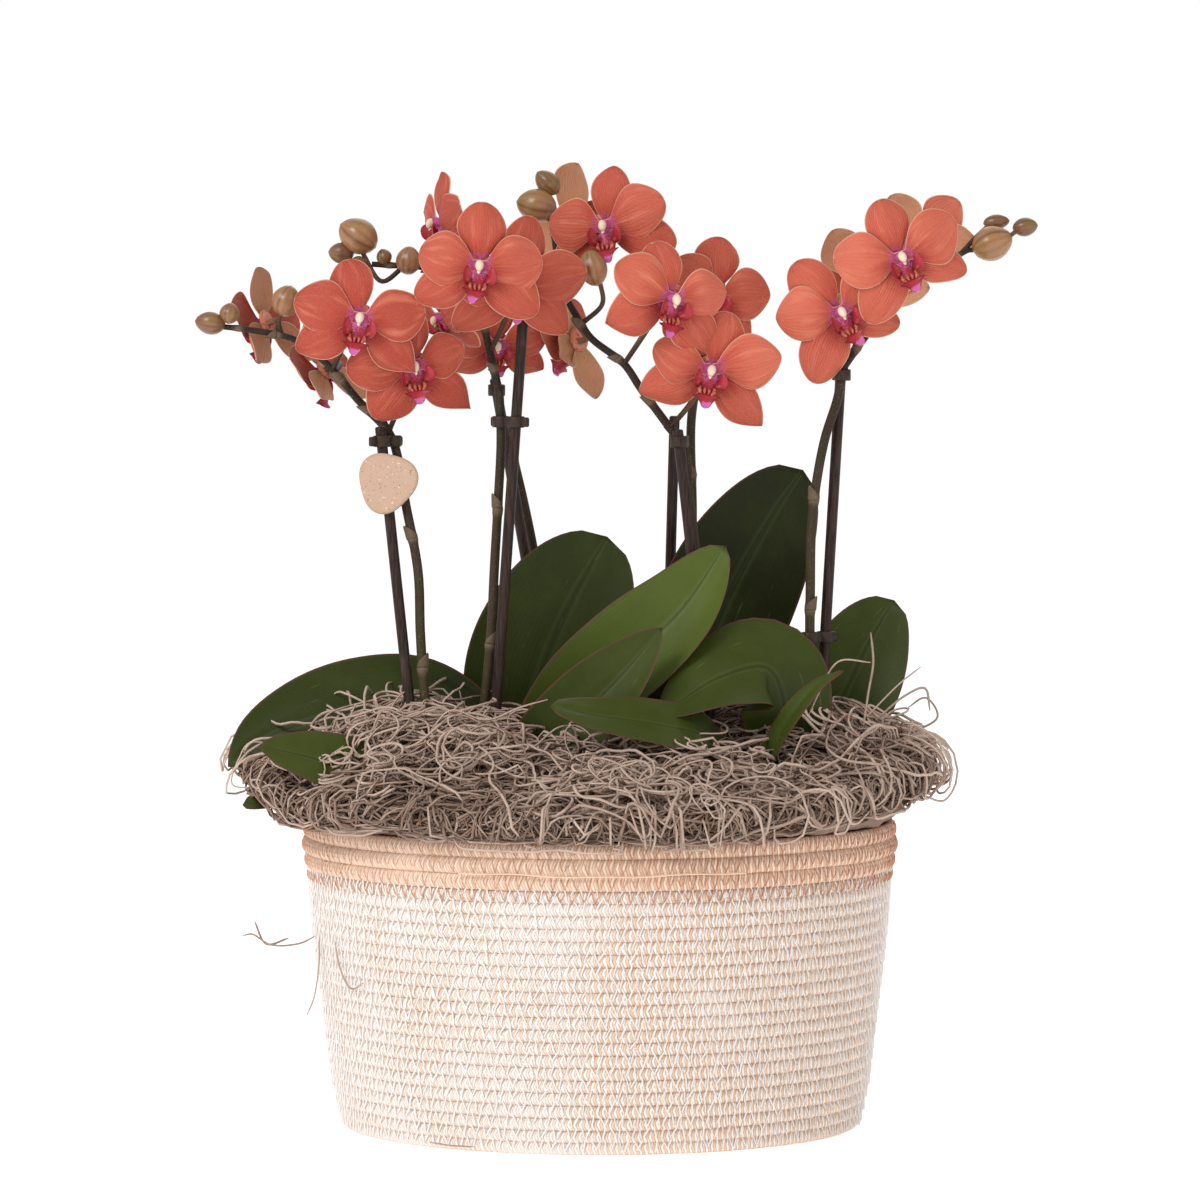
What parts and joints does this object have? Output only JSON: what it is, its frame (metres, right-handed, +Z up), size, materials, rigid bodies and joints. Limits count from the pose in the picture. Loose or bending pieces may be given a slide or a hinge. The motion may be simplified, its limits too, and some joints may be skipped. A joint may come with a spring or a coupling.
{
  "type": "moth orchid arrangement in basket",
  "caption": "Potted moth orchids with coral flowers on staked spikes, strap leaves and curly moss, in a round basket of stitched rope.",
  "frame": {"origin": "centre of the basket's flat underside", "axes": "+Z up, -Y towards the front that most flowers face, +X to the right seen from the front"},
  "size_m": [0.3446, 0.256, 0.392],
  "materials": {
    "cotton_rope": "rough twisted cotton cord",
    "jute_rope": "rough twisted jute cord",
    "liner_film": "dark thermoformed plastic",
    "pot_plastic": "brown nursery pot plastic",
    "bark": "coarse bark chips",
    "moss": "dry curly plant strands",
    "spike": "smooth living stem, dark green to brown",
    "stick": "stained bamboo",
    "clip": "moulded dark plastic",
    "tag": "speckled uncoated card",
    "petal": "waxy veined petal",
    "leaf": "thick glossy leaf"
  },
  "bodies": {
    "root": {"basket_wall": "cotton_rope", "rim_band": "jute_rope", "reservoir_liner": "liner_film", "pot_west": "pot_plastic", "bark_west": "bark", "pot_north": "pot_plastic", "bark_north": "bark", "pot_east": "pot_plastic", "bark_east": "bark", "spike_far_left": "spike", "stick_far_left": "stick", "clip_far_left": "clip", "spike_left": "spike", "stick_left": "stick", "clip_left": "clip", "spike_middle": "spike", "stick_middle": "stick", "clip_middle": "clip", "spike_centre": "spike", "stick_centre": "stick", "clip_centre": "clip", "spike_centre_back": "spike", "stick_centre_back": "stick", "spike_right": "spike", "stick_right": "stick", "clip_right_1": "clip", "clip_right_2": "clip", "tag": "tag", "flower_far_left_1": "petal", "flower_far_left_2": "petal", "flower_far_left_3": "petal", "flower_far_left_4": "petal", "flower_left_1": "petal", "flower_left_2": "petal", "flower_left_3": "petal", "flower_left_4": "petal", "flower_middle_1": "petal", "flower_centre_1": "petal", "flower_centre_2": "petal", "flower_centre_3": "petal", "flower_centre_4": "petal", "flower_centre_5": "petal", "flower_centre_6": "petal", "flower_right_1": "petal", "flower_right_2": "petal", "flower_right_3": "petal", "flower_right_4": "petal", "leaf_west_long": "leaf", "leaf_west_low": "leaf", "leaf_west_small": "leaf", "leaf_west_back": "leaf", "leaf_west_bright": "leaf", "leaf_west_young": "leaf", "leaf_north_tall": "leaf", "leaf_north_back": "leaf", "leaf_east_low": "leaf", "leaf_east_arching": "leaf", "leaf_east_strap": "leaf", "leaf_east_round": "leaf", "moss": "moss"}
  },
  "joints": []
}
